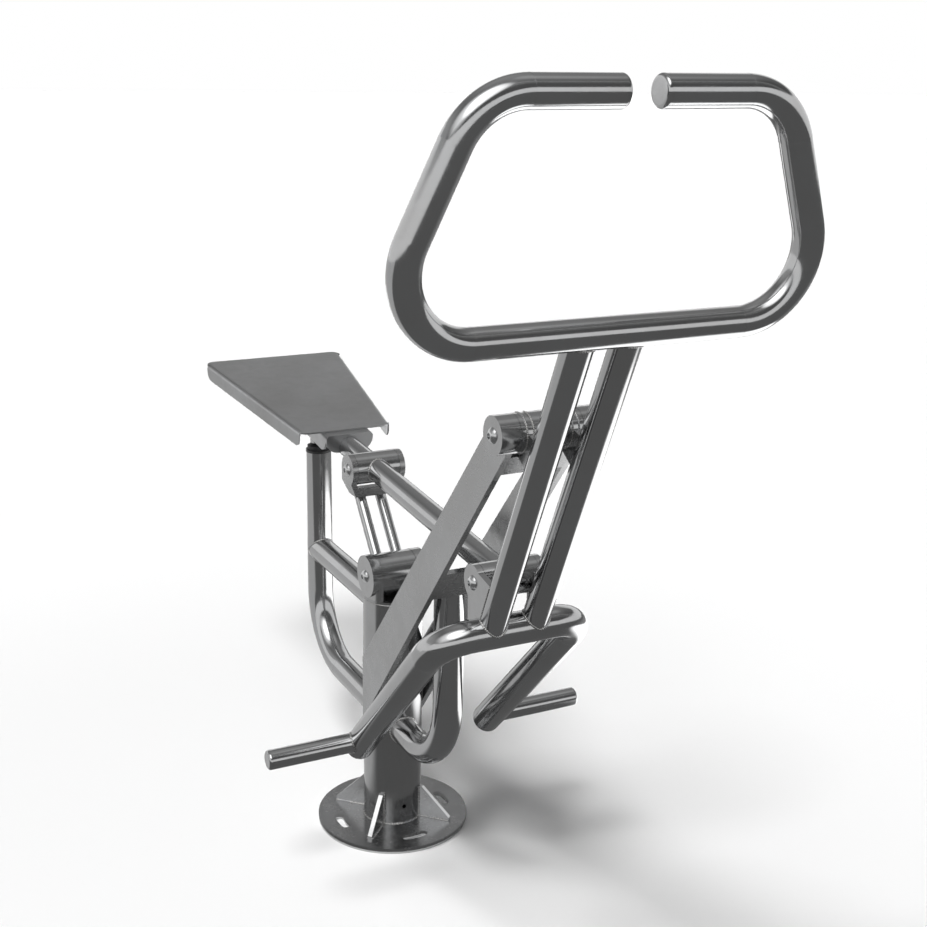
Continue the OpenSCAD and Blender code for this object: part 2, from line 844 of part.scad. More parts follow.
// A rectangle that hangs from y = 0, with its two upper corners rounded
module rounded_top(half, depth, r) {
    translate([-half, -depth]) square([2 * half, depth - r]);
    translate([r - half, -depth]) square([2 * half - 2 * r, depth]);
    for (s = [-1, 1]) translate([s * (half - r), -r]) circle(r = r);
}

module seat_channel() {
    top = -seat_t - weld_gap;
    front = end_plate_t + weld_gap - channel_lead;
    color(steel) on_seat() difference() {
        translate([0, front + channel_len, top]) rotate([90, 0, 0])
            linear_extrude(channel_len) channel_profile();
        // Lower front corners rounded off
        translate([0, front, top - channel_h])
            plate_x(-channel_w, channel_w) difference() {
                translate([-1, -1]) square(channel_corner_r + 1);
                translate([channel_corner_r, channel_corner_r]) circle(r = channel_corner_r);
            }
    }
}

// Plate that closes the channel's front end, welded round the seat tube
module channel_end_plate() {
    half = channel_w / 2;
    shoulder = 2 * channel_t;
    color(steel) difference() {
        on_seat() translate([0, end_plate_t - channel_lead, -seat_t - weld_gap])
            rotate([90, 0, 0]) linear_extrude(end_plate_t) intersection() {
                rounded_top(half, channel_h, shoulder);
                union() {
                    translate([-half, end_plate_r - channel_h]) square([2 * half, channel_h]);
                    translate([end_plate_r - half, -channel_h])
                        square([2 * half - 2 * end_plate_r, channel_h]);
                    for (s = [-1, 1])
                        translate([s * (half - end_plate_r), end_plate_r - channel_h])
                            circle(r = end_plate_r);
                }
            }
        rod([0, 0, tube_z(0)], [0, far, tube_z(far)], seat_tube_d + 2 * weld_gap);
    }
}

// Cross plates in the channel, welded round the seat tube
module channel_diaphragms() {
    half = channel_w / 2 - channel_t - weld_gap;
    top = -seat_t - channel_t - 2 * weld_gap;
    tall = channel_h - 2 * channel_t;
    color(steel) difference() {
        on_seat() for (y = [diaphragm_front, diaphragm_rear])
            translate([-half, y, top - tall]) cube([2 * half, diaphragm_t, tall]);
        rod([0, 0, tube_z(0)], [0, far, tube_z(far)], seat_tube_d + 2 * weld_gap);
        // Corners cleared for the channel's shoulders
        on_seat() for (s = [-1, 1])
            translate([s * half, -far / 2, top]) rotate([0, 45, 0])
                cube([channel_t * 1.6, 2 * far, channel_t * 1.6], center = true);
    }
}

module seat_tube_front() {
    color(bright) difference() {
        straight_tube([0, piv_b.x, piv_b.y], [0, piv_d.x, piv_d.y], seat_tube_d, tube_wall);
        bar_x(piv_b, hub_d + 2 * weld_gap, -far, far);
        bar_x(piv_d, hub_d + 2 * weld_gap, -far, far);
    }
}

module seat_tube_rear() {
    color(bright) difference() {
        straight_tube([0, piv_d.x, piv_d.y], [0, tube_end.x, tube_end.y], seat_tube_d, tube_wall);
        bar_x(piv_d, hub_d + 2 * weld_gap, -far, far);
    }
}

module seat_tube_plug() {
    color(rubber) translate([0, tube_end.x, tube_end.y]) rotate([tube_slope - 90, 0, 0])
        round_plug(seat_tube_d, tube_wall, 18);
}

module sleeve_d() {
    color(steel) sleeve(piv_d, hub_d, sleeve_d_half, 2 * seat_r);
}

module sleeve_b() {
    color(steel) sleeve(piv_b, hub_d, sleeve_b_half, hub_d - 2 * sleeve_b_wall);
}

module bearings_d() {
    color(bright) bearings(piv_d, sleeve_d_half);
}

// Striker under the seat tube, which rests on the rear buffer
module stop_striker() {
    low = buffer_top_z + stop_gap;
    color(steel) difference() {
        translate([0, rear_arm_y, low]) cylinder(d = striker_d, h = tube_z(rear_arm_y) - low);
        rod([0, 0, tube_z(0)], [0, far, tube_z(far)], seat_tube_d + 2 * weld_gap);
    }
}

// Handle lever

// Places a piece drawn in the loop's plane: origin at the middle of the lower tube
module on_loop() {
    translate([0, -loop_low_y, loop_low_z]) rotate([90 + loop_lean, 0, 0]) children();
}

module handle_loop() {
    end_x = loop_gap / 2 + cap_h + weld_gap;
    color(bright) on_loop()
        bent_tube([[end_x, loop_h], [loop_top_x, loop_h], [loop_low_x, 0],
            [-loop_low_x, 0], [-loop_top_x, loop_h], [-end_x, loop_h]],
            loop_bend_r, handle_d, tube_wall);
}

module loop_end_caps() {
    end_x = loop_gap / 2 + cap_h + weld_gap;
    color(bright) on_loop() for (s = [-1, 1])
        translate([s * end_x, loop_h, 0]) rotate([0, -90 * s, 0])
            round_plug(handle_d, tube_wall, 16);
}

// Cuts away the loop's lower tube
module loop_cutter() {
    bar_x([-loop_low_y, loop_low_z], handle_d + 2 * weld_gap, -far, far);
}

// Cuts away the footrest's cross tube
module foot_cutter() {
    bar_x([-foot_y, foot_z], frame_d + 2 * weld_gap, -far, far);
}

module upright_axis(d) {
    rod([upright_x, upright_foot.x, upright_foot.y], [upright_x, upright_head.x, upright_head.y], d);
}

module upright_right() {
    color(bright) difference() {
        straight_tube([upright_x, upright_foot.x, upright_foot.y],
            [upright_x, upright_head.x, upright_head.y], handle_d, tube_wall);
        loop_cutter();
        foot_cutter();
    }
}

module upright_left() {
    left() upright_right();
}

// Bracket plate from the handle pivot's sleeve to the rear of an upright
module lever_bracket_right() {
    top = piv_c + [6, 15];
    head = upright_at(pivot_c_z - 8);
    foot = upright_at(pivot_c_z - lever_plate_drop);
    under = upright_at(pivot_c_z - lever_plate_drop + 4) + [handle_d / 2 + 2, 0];
    color(steel) difference() {
        plate_x(lever_plate_x - lever_plate_t, lever_plate_x)
            polygon([top, head, foot, under, piv_c + [14, -24]]);
        bar_x(piv_c, hub_d + 2 * weld_gap, -far, far);
        upright_axis(handle_d + 2 * weld_gap);
    }
}

module lever_bracket_left() {
    left() lever_bracket_right();
}

module sleeve_c() {
    color(steel) sleeve(piv_c, hub_d, sleeve_c_half, 2 * seat_r);
}

module bearings_c() {
    color(bright) bearings(piv_c, sleeve_c_half);
}

// Ear that carries the lever's lower pivot, welded behind an upright and on the footrest
module ear_b_right() {
    rear_y = -pivot_b_y + hub_r / 2;
    low_z = foot_z + 11;
    color(steel) difference() {
        plate_x(hub_b_half - ear_t, hub_b_half) union() {
            translate(piv_b) circle(r = hub_r);
            polygon([piv_b + [0, hub_r - 4], upright_at(pivot_b_z + 12),
                [upright_at(low_z).x, low_z], [rear_y, low_z], [rear_y, pivot_b_z]]);
        }
        bar_x(piv_b, 2 * bore_r, 0, far);
        upright_axis(handle_d + 2 * weld_gap);
        foot_cutter();
    }
}

module ear_b_left() {
    left() ear_b_right();
}

module axle_b() {
    color(bright) axle(piv_b, hub_b_half - weld_gap);
}

// Bushes on the lower lever axle, one beside each ear
module bushes_b() {
    inner = hub_b_half - ear_t - weld_gap;
    color(bright) for (s = [-1, 1]) {
        x0 = s > 0 ? inner - bearing_w : -inner;
        difference() {
            bar_x(piv_b, bush_d, x0, x0 + bearing_w);
            bar_x(piv_b, 2 * bore_r, x0 - 1, x0 + bearing_w + 1);
        }
    }
}

module bolts_b() {
    color(bright) hub_bolts(piv_b, hub_b_half);
}

// Places a piece drawn in the footrest's plane: origin at the middle of the cross tube
module on_footrest() {
    translate([0, -foot_y, foot_z]) rotate([-foot_slope, 0, 0]) children();
}

module footrest_tube() {
    color(bright) on_footrest()
        bent_tube([[-foot_x, foot_arm_len], [-foot_x, 0], [foot_x, 0], [foot_x, foot_arm_len]],
            foot_bend_r, frame_d, frame_wall);
}

module footrest_end_caps() {
    color(bright) on_footrest() for (s = [-1, 1])
        translate([s * foot_x, foot_arm_len, 0]) rotate([-90, 0, 0])
            round_plug(frame_d, frame_wall, 18);
}

module peg_right() {
    end_x = peg_end_x - cap_h - weld_gap;
    color(bright) on_footrest() difference() {
        straight_tube([foot_x, peg_along, 0], [end_x, peg_along, 0], peg_d, tube_wall);
        translate([foot_x, 0, 0]) rotate([-90, 0, 0])
            cylinder(d = frame_d + 2 * weld_gap, h = far);
    }
}

module peg_left() {
    left() peg_right();
}

module peg_end_caps() {
    end_x = peg_end_x - cap_h - weld_gap;
    color(bright) on_footrest() for (s = [-1, 1])
        translate([s * end_x, peg_along, 0]) rotate([0, 90 * s, 0])
            round_plug(peg_d, tube_wall, 14);
}

base_plate();
base_gussets();
post();
post_head_plate();
head_cheek_left();
head_cheek_right();
rear_frame_tube();
front_frame_tube();
strut_tube();
rear_buffer();
side_bar_left();
side_bar_right();
cross_bracket();
upper_cross_plate();
hub_c_ring_left();
hub_c_ring_right();
axle_a();
axle_c();
bolts_a();
bolts_c();
rocker_sleeve();
rocker_rods();
rocker_yoke();
bearings_a();
axle_d_pin();
bolts_d();
seat_plate();
seat_channel();
channel_end_plate();
channel_diaphragms();
seat_tube_front();
seat_tube_rear();
seat_tube_plug();
sleeve_d();
sleeve_b();
bearings_d();
stop_striker();
handle_loop();
loop_end_caps();
upright_left();
upright_right();
lever_bracket_left();
lever_bracket_right();
sleeve_c();
bearings_c();
ear_b_left();
ear_b_right();
axle_b();
bushes_b();
bolts_b();
footrest_tube();
footrest_end_caps();
peg_left();
peg_right();
peg_end_caps();
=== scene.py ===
"""Looks for an outdoor rowing machine in stainless steel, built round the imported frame."""

import math

import bmesh
import bpy
from mathutils import Matrix, Vector


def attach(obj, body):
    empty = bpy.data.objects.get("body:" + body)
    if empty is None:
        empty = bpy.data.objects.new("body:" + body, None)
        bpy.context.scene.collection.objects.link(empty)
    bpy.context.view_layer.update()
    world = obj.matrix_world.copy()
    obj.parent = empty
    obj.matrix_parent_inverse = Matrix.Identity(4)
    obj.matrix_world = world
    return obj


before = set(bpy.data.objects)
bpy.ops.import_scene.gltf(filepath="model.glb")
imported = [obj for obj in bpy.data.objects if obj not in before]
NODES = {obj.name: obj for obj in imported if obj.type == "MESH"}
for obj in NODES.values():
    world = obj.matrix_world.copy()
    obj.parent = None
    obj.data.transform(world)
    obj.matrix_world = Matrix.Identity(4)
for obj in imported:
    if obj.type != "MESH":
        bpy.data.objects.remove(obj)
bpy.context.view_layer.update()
scene = bpy.context.scene

# Axes of the four pivots as (y, z), all along X
PIV_A = (0.0, 0.491)
PIV_B = (-0.425, 0.631)
PIV_C = (-0.526, 0.888)
PIV_D = (0.089, 0.665)

# Ends of the uprights' axes as (y, z), the foot of the side bars, and the leans of slanting pieces
UPRIGHT_FOOT = (-0.450, 0.556)
UPRIGHT_HEAD = (-0.678, 1.056)
BAR_FOOT_Z = 0.273
SEAT_TILT = math.radians(7.34)
ROD_LEAN = math.radians(39.8)
ARM_LEAN = math.radians(45.6)


# Camera at the photograph's viewing angle: lengths in pixels of the photograph, sensor in mm

IMAGE = 927
FOCAL_PX = 1403.12
CENTRE_PX = (450.05, 461.45)
SENSOR = 36.0
cam_data = bpy.data.cameras.new("camera")
cam = bpy.data.objects.new("camera", cam_data)
scene.collection.objects.link(cam)
right = Vector((0.89979629, -0.43611764, 0.01296338))
up = Vector((0.1119905, 0.25957039, 0.95920871))
ahead = Vector((0.42169274, 0.86164066, -0.2824015))
turn = Matrix((right, up, -ahead)).transposed().to_4x4()
cam.matrix_world = Matrix.Translation((-0.95364904, -2.17708087, 1.39978531)) @ turn
cam_data.sensor_width = SENSOR
cam_data.sensor_fit = "HORIZONTAL"
cam_data.lens = FOCAL_PX / IMAGE * SENSOR
cam_data.shift_x = (IMAGE / 2 - CENTRE_PX[0]) / IMAGE
cam_data.shift_y = (CENTRE_PX[1] - IMAGE / 2) / IMAGE
cam_data.clip_end = 200.0
scene.camera = cam


# Materials

class Nodes:
    """A material's node tree with short calls to add and link nodes."""

    def __init__(self, name):
        self.mat = bpy.data.materials.new(name)
        self.mat.use_nodes = True
        self.tree = self.mat.node_tree
        self.tree.nodes.clear()
        self.out = self.add("ShaderNodeOutputMaterial")
        self.bsdf = self.add("ShaderNodeBsdfPrincipled")
        self.link(self.bsdf.outputs[0], self.out.inputs[0])

    def add(self, kind, **values):
        node = self.tree.nodes.new(kind)
        for key, value in values.items():
            setattr(node, key, value)
        return node

    def link(self, a, b):
        self.tree.links.new(a, b)

    def put(self, node, socket, value):
        """Links value to the socket, or sets it there if it is a plain number or colour."""
        if isinstance(value, bpy.types.NodeSocket):
            self.link(value, node.inputs[socket])
        else:
            node.inputs[socket].default_value = value

    def coords(self, scale=(1, 1, 1), rotation=(0, 0, 0)):
        where = self.add("ShaderNodeTexCoord")
        mapping = self.add("ShaderNodeMapping")
        mapping.inputs["Scale"].default_value = scale
        mapping.inputs["Rotation"].default_value = rotation
        self.link(where.outputs["Object"], mapping.inputs["Vector"])
        return mapping.outputs[0]

    def noise(self, vector, scale, detail=4.0, rough=0.55, distortion=0.0):
        node = self.add("ShaderNodeTexNoise")
        self.link(vector, node.inputs["Vector"])
        node.inputs["Scale"].default_value = scale
        node.inputs["Detail"].default_value = detail
        node.inputs["Roughness"].default_value = rough
        node.inputs["Distortion"].default_value = distortion
        return node.outputs["Fac"]

    def spread(self, value, low, high, from_low=0.3, from_high=0.7):
        """Maps value from its own range, by default that of a noise, to low and high."""
        node = self.add("ShaderNodeMapRange")
        self.link(value, node.inputs["Value"])
        node.inputs["From Min"].default_value = from_low
        node.inputs["From Max"].default_value = from_high
        node.inputs["To Min"].default_value = low
        node.inputs["To Max"].default_value = high
        return node.outputs[0]

    def math(self, op, a, b=0.0, clamp=False):
        node = self.add("ShaderNodeMath", operation=op, use_clamp=clamp)
        self.put(node, 0, a)
        self.put(node, 1, b)
        return node.outputs[0]

    def mix(self, factor, a, b):
        node = self.add("ShaderNodeMix", data_type="RGBA")
        self.put(node, 0, factor)
        self.put(node, 6, a)
        self.put(node, 7, b)
        return node.outputs[2]

    def ramp(self, value, stops):
        node = self.add("ShaderNodeValToRGB")
        self.link(value, node.inputs[0])
        elements = node.color_ramp.elements
        while len(elements) < len(stops):
            elements.new(0.5)
        for element, (place, colour) in zip(elements, stops):
            element.position = place
            element.color = colour
        return node.outputs[0]

    def bump(self, height, strength, distance, normal=None):
        node = self.add("ShaderNodeBump")
        node.inputs["Strength"].default_value = strength
        node.inputs["Distance"].default_value = distance
        self.link(height, node.inputs["Height"])
        if normal is not None:
            self.link(normal, node.inputs["Normal"])
        return node.outputs[0]


def grey(v, tint=0.0):
    """Grey of level v, with tint above 0 a little bluer."""
    return (v * (1 - tint), v, v * (1 + tint), 1.0)


def steel(name, dark, light, rough, grain=(1, 1, 1), turn_by=(0, 0, 0), grain_scale=900.0,
          grain_bump=0.12, smudge=0.06, wave=0.0):
    """Stainless steel: slow colour drift, fine grain along one direction, smudges and pits."""
    n = Nodes(name)
    where = n.coords()
    drift = n.noise(where, 7.0, 3.0, 0.5)
    cloud = n.noise(where, 38.0, 5.0, 0.6, 0.4)
    lines = n.noise(n.coords(grain, turn_by), grain_scale, 3.0, 0.65)
    pits = n.noise(where, 1400.0, 1.0, 0.4)
    tone = n.mix(n.spread(drift, 0.0, 1.0), grey(dark), grey(light, 0.012))
    tone = n.mix(n.spread(cloud, 0.0, 0.25, 0.45, 0.75), tone, grey(dark * 0.92))
    tone = n.mix(n.spread(lines, 0.0, 0.22, 0.42, 0.7), tone, grey(light * 1.1))
    n.link(tone, n.bsdf.inputs["Base Color"])
    n.bsdf.inputs["Metallic"].default_value = 1.0
    base = n.spread(cloud, rough - smudge * 0.4, rough + smudge, 0.35, 0.7)
    fine = n.spread(lines, -smudge * 0.35, smudge * 0.35, 0.35, 0.65)
    n.link(n.math("ADD", base, fine, True), n.bsdf.inputs["Roughness"])
    normal = n.bump(lines, grain_bump, 0.00012)
    normal = n.bump(n.spread(pits, 0.0, 1.0, 0.62, 0.72), 0.05, 0.00008, normal)
    if wave:
        normal = n.bump(n.noise(where, 26.0, 2.0, 0.5), wave, 0.0006, normal)
    n.link(normal, n.bsdf.inputs["Normal"])
    return n.mat


def machined(name, axis_point, dark, light, rough):
    """Turned steel: fine rings about a pivot's axis, which runs along X."""
    n = Nodes(name)
    where = n.add("ShaderNodeTexCoord")
    split = n.add("ShaderNodeSeparateXYZ")
    n.link(where.outputs["Object"], split.inputs[0])
    dy = n.math("SUBTRACT", split.outputs[1], axis_point[0])
    dz = n.math("SUBTRACT", split.outputs[2], axis_point[1])
    radius = n.math("SQRT", n.math("ADD", n.math("MULTIPLY", dy, dy), n.math("MULTIPLY", dz, dz)))
    join = n.add("ShaderNodeCombineXYZ")
    n.link(radius, join.inputs[0])
    n.link(n.math("MULTIPLY", split.outputs[0], 0.6), join.inputs[1])
    rings = n.noise(join.outputs[0], 2600.0, 2.0, 0.6)
    cloud = n.noise(n.coords(), 55.0, 4.0, 0.6, 0.3)
    tone = n.mix(n.spread(cloud, 0.0, 1.0), grey(dark), grey(light, 0.01))
    tone = n.mix(n.spread(rings, 0.0, 0.2, 0.4, 0.65), tone, grey(light * 1.08))
    n.link(tone, n.bsdf.inputs["Base Color"])
    n.bsdf.inputs["Metallic"].default_value = 1.0
    n.link(n.math("ADD", n.spread(cloud, rough - 0.02, rough + 0.03),
                  n.spread(rings, -0.02, 0.02), True), n.bsdf.inputs["Roughness"])
    n.link(n.bump(rings, 0.1, 0.00006), n.bsdf.inputs["Normal"])
    return n.mat


def rubber(name, colour, rough):
    n = Nodes(name)
    where = n.coords()
    cloud = n.noise(where, 60.0, 4.0, 0.6)
    grain = n.noise(where, 1500.0, 2.0, 0.5)
    dusty = tuple(min(1.0, c * 2.0 + 0.02) for c in colour[:3]) + (1.0,)
    n.link(n.mix(n.spread(cloud, 0.0, 0.55), colour, dusty), n.bsdf.inputs["Base Color"])
    n.link(n.spread(grain, rough - 0.06, rough + 0.1), n.bsdf.inputs["Roughness"])
    n.link(n.bump(grain, 0.35, 0.0002), n.bsdf.inputs["Normal"])
    return n.mat


def weld_steel(name):
    """Weld beads: ripples and a trace of heat tint."""
    n = Nodes(name)
    where = n.coords()
    heat = n.noise(where, 55.0, 2.0, 0.5)
    fine = n.noise(where, 420.0, 3.0, 0.6)
    tint = n.ramp(heat, [(0.3, (0.42, 0.42, 0.42, 1)), (0.48, (0.44, 0.435, 0.425, 1)),
                         (0.6, (0.40, 0.40, 0.405, 1)), (0.72, (0.38, 0.385, 0.395, 1))])
    n.link(tint, n.bsdf.inputs["Base Color"])
    n.bsdf.inputs["Metallic"].default_value = 1.0
    n.link(n.spread(fine, 0.2, 0.32), n.bsdf.inputs["Roughness"])
    n.link(n.bump(fine, 0.15, 0.0002), n.bsdf.inputs["Normal"])
    return n.mat


# Slopes of the long pieces in the YZ plane, so that each grain runs along its piece
BAR_SLOPE = math.atan2(PIV_C[1] - BAR_FOOT_Z, PIV_C[0])
UPRIGHT_SLOPE = math.atan2(UPRIGHT_HEAD[1] - UPRIGHT_FOOT[1], UPRIGHT_HEAD[0] - UPRIGHT_FOOT[0])
SEAT_TUBE_SLOPE = math.atan2(PIV_D[1] - PIV_B[1], PIV_D[0] - PIV_B[0])

POLISH = dict(dark=0.44, light=0.48, rough=0.12)
straight_mat = steel("steel_tube_x", grain=(0.04, 1, 1), grain_scale=700, **POLISH)
bent_mat = steel("steel_tube_bent", grain=(1, 1, 1), grain_scale=700, grain_bump=0.06, **POLISH)
upright_mat = steel("steel_upright", grain=(1, 0.04, 1), turn_by=(-UPRIGHT_SLOPE, 0, 0),
                    grain_scale=700, **POLISH)
seat_tube_mat = steel("steel_seat_tube", grain=(1, 0.04, 1), turn_by=(-SEAT_TUBE_SLOPE, 0, 0),
                      grain_scale=700, **POLISH)
post_mat = steel("steel_post", grain=(1, 1, 0.04), dark=0.40, light=0.45, rough=0.13,
                 grain_scale=600, wave=0.04)
bar_mat = steel("steel_bar", grain=(1, 0.03, 1), turn_by=(-BAR_SLOPE, 0, 0), dark=0.40,
                light=0.47, rough=0.27, grain_scale=800, grain_bump=0.2, smudge=0.08)
plate_mat = steel("steel_plate", grain=(0.04, 1, 1), dark=0.38, light=0.46, rough=0.24,
                  grain_scale=800, grain_bump=0.18, smudge=0.08)
seat_mat = steel("steel_seat", grain=(1, 0.03, 1), turn_by=(-SEAT_TILT, 0, 0),
                 dark=0.36, light=0.43, rough=0.34, grain_scale=900, grain_bump=0.25, smudge=0.08)
base_mat = steel("steel_base", grain=(1, 1, 1), dark=0.36, light=0.44, rough=0.2,
                 grain_scale=900, grain_bump=0.12, smudge=0.1, wave=0.1)
gusset_mat = steel("steel_gusset", dark=0.46, light=0.62, rough=0.22, grain_scale=520,
                   grain_bump=0.3, smudge=0.06)
turned_mats = {letter: machined("steel_turned_" + letter, pivot, 0.43, 0.47, 0.15)
               for letter, pivot in (("a", PIV_A), ("b", PIV_B), ("c", PIV_C), ("d", PIV_D))}
bolt_mat = steel("steel_bolt", dark=0.5, light=0.58, rough=0.2, grain_scale=1200)
rubber_mat = rubber("rubber_black", (0.018, 0.018, 0.019, 1), 0.5)
plastic_mat = rubber("plastic_black", (0.022, 0.022, 0.023, 1), 0.36)
bronze_mat = steel("bronze", dark=0.3, light=0.4, rough=0.35)
bronze_bsdf = bronze_mat.node_tree.nodes["Principled BSDF"]
bronze_bsdf.inputs["Specular Tint"].default_value = (1.0, 0.8, 0.5, 1)
weld_mat = weld_steel("steel_weld")

LOOKS = {
    "base_plate": base_mat, "base_gussets": gusset_mat, "post": post_mat,
    "post_head_plate": base_mat, "head_cheek_left": turned_mats["a"],
    "head_cheek_right": turned_mats["a"], "rear_frame_tube": bent_mat, "front_frame_tube": bent_mat,
    "strut_tube": seat_tube_mat, "rear_buffer": rubber_mat, "side_bar_left": bar_mat,
    "side_bar_right": bar_mat, "cross_bracket": plate_mat, "upper_cross_plate": plate_mat,
    "hub_c_ring_left": turned_mats["c"], "hub_c_ring_right": turned_mats["c"],
    "axle_a": bolt_mat, "axle_c": bolt_mat, "bolts_a": bolt_mat, "bolts_c": bolt_mat,
    "rocker_sleeve": turned_mats["a"], "rocker_rods": seat_tube_mat, "rocker_yoke": plate_mat,
    "bearings_a": bolt_mat, "axle_d_pin": bolt_mat, "bolts_d": bolt_mat,
    "seat_plate": seat_mat, "seat_channel": seat_mat, "channel_end_plate": seat_mat,
    "channel_diaphragms": plate_mat,
    "seat_tube_front": seat_tube_mat, "seat_tube_rear": seat_tube_mat,
    "seat_tube_plug": plastic_mat, "sleeve_d": turned_mats["d"],
    "sleeve_b": turned_mats["b"], "bearings_d": bolt_mat, "stop_striker": bolt_mat,
    "handle_loop": bent_mat, "loop_end_caps": straight_mat, "upright_left": upright_mat,
    "upright_right": upright_mat, "lever_bracket_left": plate_mat,
    "lever_bracket_right": plate_mat, "sleeve_c": turned_mats["c"], "bearings_c": bolt_mat,
    "ear_b_left": turned_mats["b"], "ear_b_right": turned_mats["b"], "axle_b": bolt_mat,
    "bushes_b": bronze_mat, "bolts_b": bolt_mat, "footrest_tube": bent_mat,
    "footrest_end_caps": straight_mat, "peg_left": straight_mat, "peg_right": straight_mat,
    "peg_end_caps": straight_mat,
}
for node_name, node in NODES.items():
    node.data.materials.clear()
    node.data.materials.append(LOOKS[node_name])


# Weld beads

BEAD_STEP = 0.0008
BEAD_SIDES = 8
RIPPLE = 0.16
RIPPLE_PITCH = 0.0032


def sweep(bm, points, radius, closed):
    """Adds a rounded bead along points, with the ripples that a hand weld leaves."""
    length = 0.0
    rings = []
    count = len(points)
    for i, p in enumerate(points):
        before = points[i - 1] if i or closed else p
        after = points[(i + 1) % count] if i < count - 1 or closed else p
        along = (after - before).normalized()
        if i:
            length += (p - points[i - 1]).length
        side = along.cross(Vector((0.31, 0.52, 0.79))).normalized()
        other = along.cross(side)
        r = radius * (1 + RIPPLE * math.sin(2 * math.pi * length / RIPPLE_PITCH))
        rings.append([bm.verts.new(p + r * (math.cos(a) * side + math.sin(a) * other))
                      for a in (2 * math.pi * k / BEAD_SIDES for k in range(BEAD_SIDES))])
    pairs = list(zip(rings, rings[1:])) + ([(rings[-1], rings[0])] if closed else [])
    for first, second in pairs:
        for k in range(BEAD_SIDES):
            m = (k + 1) % BEAD_SIDES
            bm.faces.new((first[k], first[m], second[m], second[k]))
    if not closed:
        bm.faces.new(list(reversed(rings[0])))
        bm.faces.new(rings[-1])


def line(p, q):
    p, q = Vector(p), Vector(q)
    n = max(2, int((q - p).length / BEAD_STEP))
    return [p.lerp(q, i / n) for i in range(n + 1)]


def ring(centre, normal, radius, start=0.0, end=360.0, zero=None):
    """Points of an arc about centre; zero is the direction of angle 0."""
    normal = Vector(normal).normalized()
    first = Vector(zero) if zero else normal.orthogonal()
    first = (first - first.dot(normal) * normal).normalized()
    second = normal.cross(first)
    whole = end - start >= 360
    n = max(8, int(math.radians(end - start) * radius / BEAD_STEP))
    angles = [math.radians(start + (end - start) * i / n) for i in range(n if whole else n + 1)]
    return [Vector(centre) + radius * (math.cos(a) * first + math.sin(a) * second) for a in angles]


def section(p, d, r):
    """Points round a tube of radius r about the line from p along the unit vector d."""
    a = d.orthogonal().normalized()
    b = d.cross(a)
    n = int(2 * math.pi * r / BEAD_STEP)
    return [p + r * (math.cos(angle) * a + math.sin(angle) * b)
            for angle in (2 * math.pi * i / n for i in range(n))]


def saddle(p, d, r, q, e, big_r):
    """Where a tube of radius r from p along d first meets a round of radius big_r about q and e."""
    p, d, q, e = Vector(p), Vector(d).normalized(), Vector(q), Vector(e).normalized()
    out = []
    for s in section(p, d, r):
        w = (s - q) - (s - q).dot(e) * e
        v = d - d.dot(e) * e
        aa, bb, cc = v.dot(v), 2 * v.dot(w), w.dot(w) - big_r * big_r
        disc = bb * bb - 4 * aa * cc
        if disc < 0:
            continue
        out.append(s + d * (-bb - math.sqrt(disc)) / (2 * aa))
    return out


def flat_cut(p, d, r, z):
    """Where a rod of radius r from p along d meets the level z."""
    p, d = Vector(p), Vector(d).normalized()
    return [s + d * (z - s.z) / d.z for s in section(p, d, r)]


def beads(name, body, runs):
    """One object with all the weld beads of a body; each run is (points, radius, closed)."""
    bm = bmesh.new()
    for points, radius, closed in runs:
        sweep(bm, points, radius, closed)
    mesh = bpy.data.meshes.new(name)
    bm.normal_update()
    bm.to_mesh(mesh)
    bm.free()
    for face in mesh.polygons:
        face.use_smooth = True
    obj = bpy.data.objects.new(name, mesh)
    scene.collection.objects.link(obj)
    mesh.materials.append(weld_mat)
    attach(obj, body)


def at(pivot, x=0.0):
    """Point on the line along X through pivot, which is (y, z)."""
    return Vector((x, pivot[0], pivot[1]))


X = Vector((1, 0, 0))
Z = Vector((0, 0, 1))
POST_R = 0.054
FRAME_R = 0.0254
TUBE_R = 0.0212
HUB_R = 0.0285
HUB_A_R = 0.0375
ROD_R = 0.010
PEG_R = 0.01685
POST_TOP = 0.4466
ARM_Z = 0.2
STRUT_Z = 0.415
REAR_ARM_Y = 0.373
FRONT_ARM_END = (-0.232, 0.547)
YOKE_FOOT_Z = 0.6118
FOOTREST_BAR = (-0.4495, 0.556)
LOOP_BAR = (-0.686, 1.056)
ROD_FOOT = (0.010, 0.491)
UPRIGHT_X = 0.0365
UPRIGHT_U = (at(UPRIGHT_HEAD, UPRIGHT_X) - at(UPRIGHT_FOOT, UPRIGHT_X)).normalized()
TUBE_U = Vector((0, PIV_D[0] - PIV_B[0], PIV_D[1] - PIV_B[1])).normalized()
ROD_U = Vector((0, math.sin(ROD_LEAN), math.cos(ROD_LEAN)))
ARM_U = Vector((0, math.cos(ARM_LEAN), -math.sin(ARM_LEAN)))

frame_runs = [
    (ring((0, 0, 0.0103), Z, POST_R + 0.0006), 0.0017, True),
    (ring((0, 0, POST_TOP), Z, POST_R - 0.0002), 0.0009, True),
    (saddle((0, 0.3, ARM_Z), (0, -1, 0), FRAME_R, (0, 0, 0), Z, POST_R), 0.0022, True),
    (saddle((0, -0.2, ARM_Z), (0, 1, 0), FRAME_R, (0, 0, 0), Z, POST_R), 0.0022, True),
    (saddle((0, 0.2, STRUT_Z), (0, -1, 0), FRAME_R, (0, 0, 0), Z, POST_R), 0.0022, True),
    (saddle((0, 0.2, STRUT_Z), (0, 1, 0), FRAME_R, (0, REAR_ARM_Y, 0), Z, FRAME_R), 0.0018, True),
    (ring(at(FRONT_ARM_END), Z, FRAME_R + 0.0004), 0.0018, True),
]
